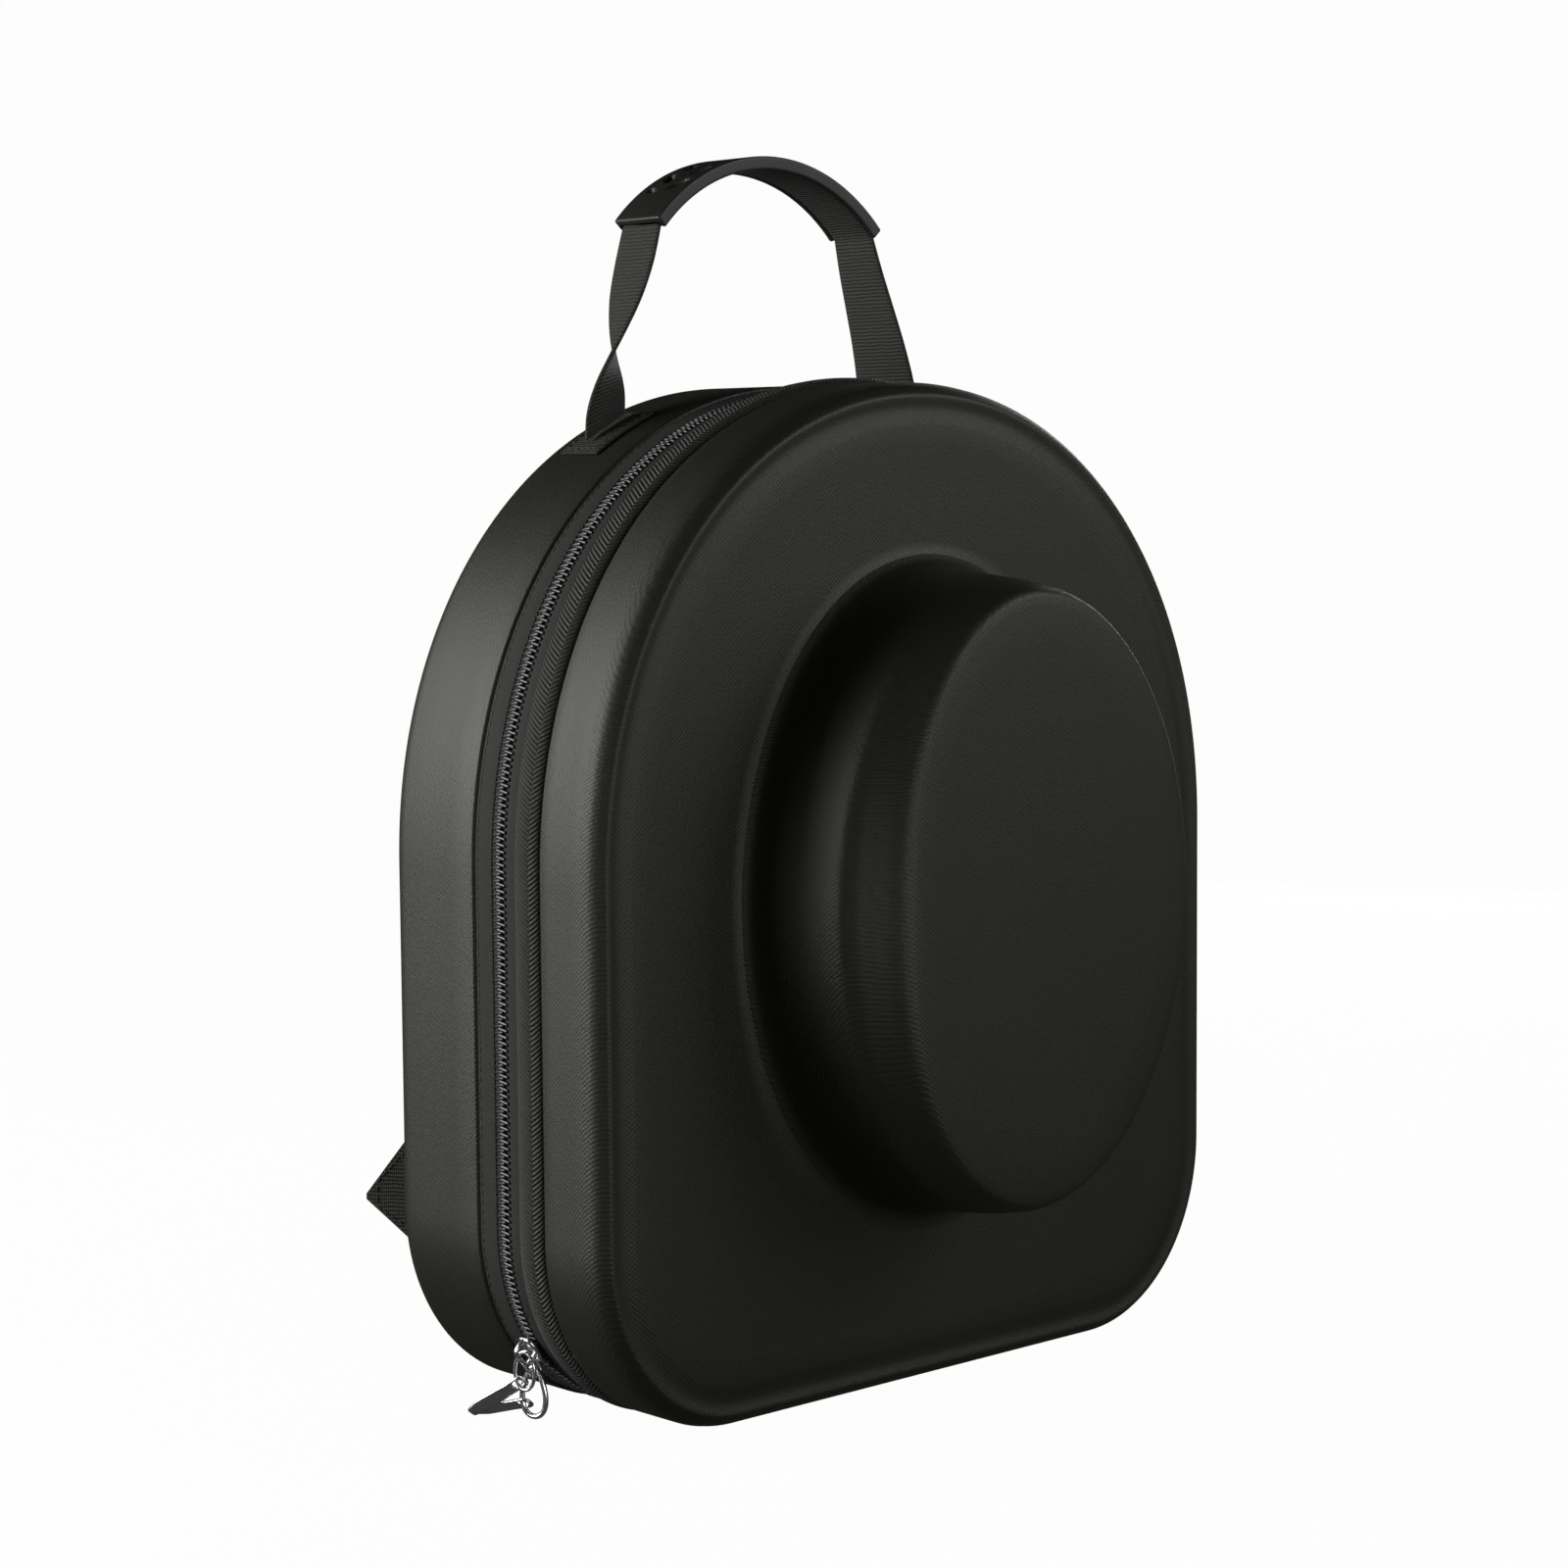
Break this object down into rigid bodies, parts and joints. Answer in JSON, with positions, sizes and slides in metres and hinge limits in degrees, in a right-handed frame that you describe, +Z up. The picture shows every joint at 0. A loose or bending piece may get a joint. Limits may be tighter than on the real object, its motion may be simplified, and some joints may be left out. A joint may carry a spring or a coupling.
{
  "type": "hat case",
  "caption": "Hard moulded hat case with a raised hat-shaped crown on its lid, a zip round the side, a carry handle and shoulder straps.",
  "frame": {"origin": "bottom centre of the case's box, on the surface that it stands on", "axes": "+Z up, -Y out of the lid towards the viewer, +X to the right seen from the lid's side"},
  "size_m": [0.3034, 0.19, 0.432],
  "materials": {
    "moulded_shell": "satin, fine embossed twill over moulded foam",
    "zip_tape": "matte woven tape",
    "zip_coil": "glossy nylon coil",
    "piping_cloth": "matte ribbed cloth",
    "webbing": "matte ribbed webbing",
    "grip_rubber": "satin moulded grip",
    "bright_metal": "polished"
  },
  "bodies": {
    "root": {"back_shell": "moulded_shell", "lid_shell": "moulded_shell", "zip_tape_back": "zip_tape", "zip_tape_lid": "zip_tape", "zip_teeth_back": "zip_coil", "zip_teeth_lid": "zip_coil", "piping": "piping_cloth", "sewn_strip": "zip_tape", "handle_strap": "webbing", "handle_grip": "grip_rubber", "handle_patch_left": "webbing", "handle_patch_right": "webbing", "shoulder_strap_left": "webbing", "shoulder_strap_right": "webbing", "strap_yoke": "webbing", "strap_wing_left": "webbing", "strap_wing_right": "webbing", "zip_slider": "bright_metal", "pull_loop": "bright_metal", "pull_drop": "bright_metal", "pull_tab_loop": "bright_metal", "pull_tab_drop": "bright_metal"}
  },
  "joints": []
}
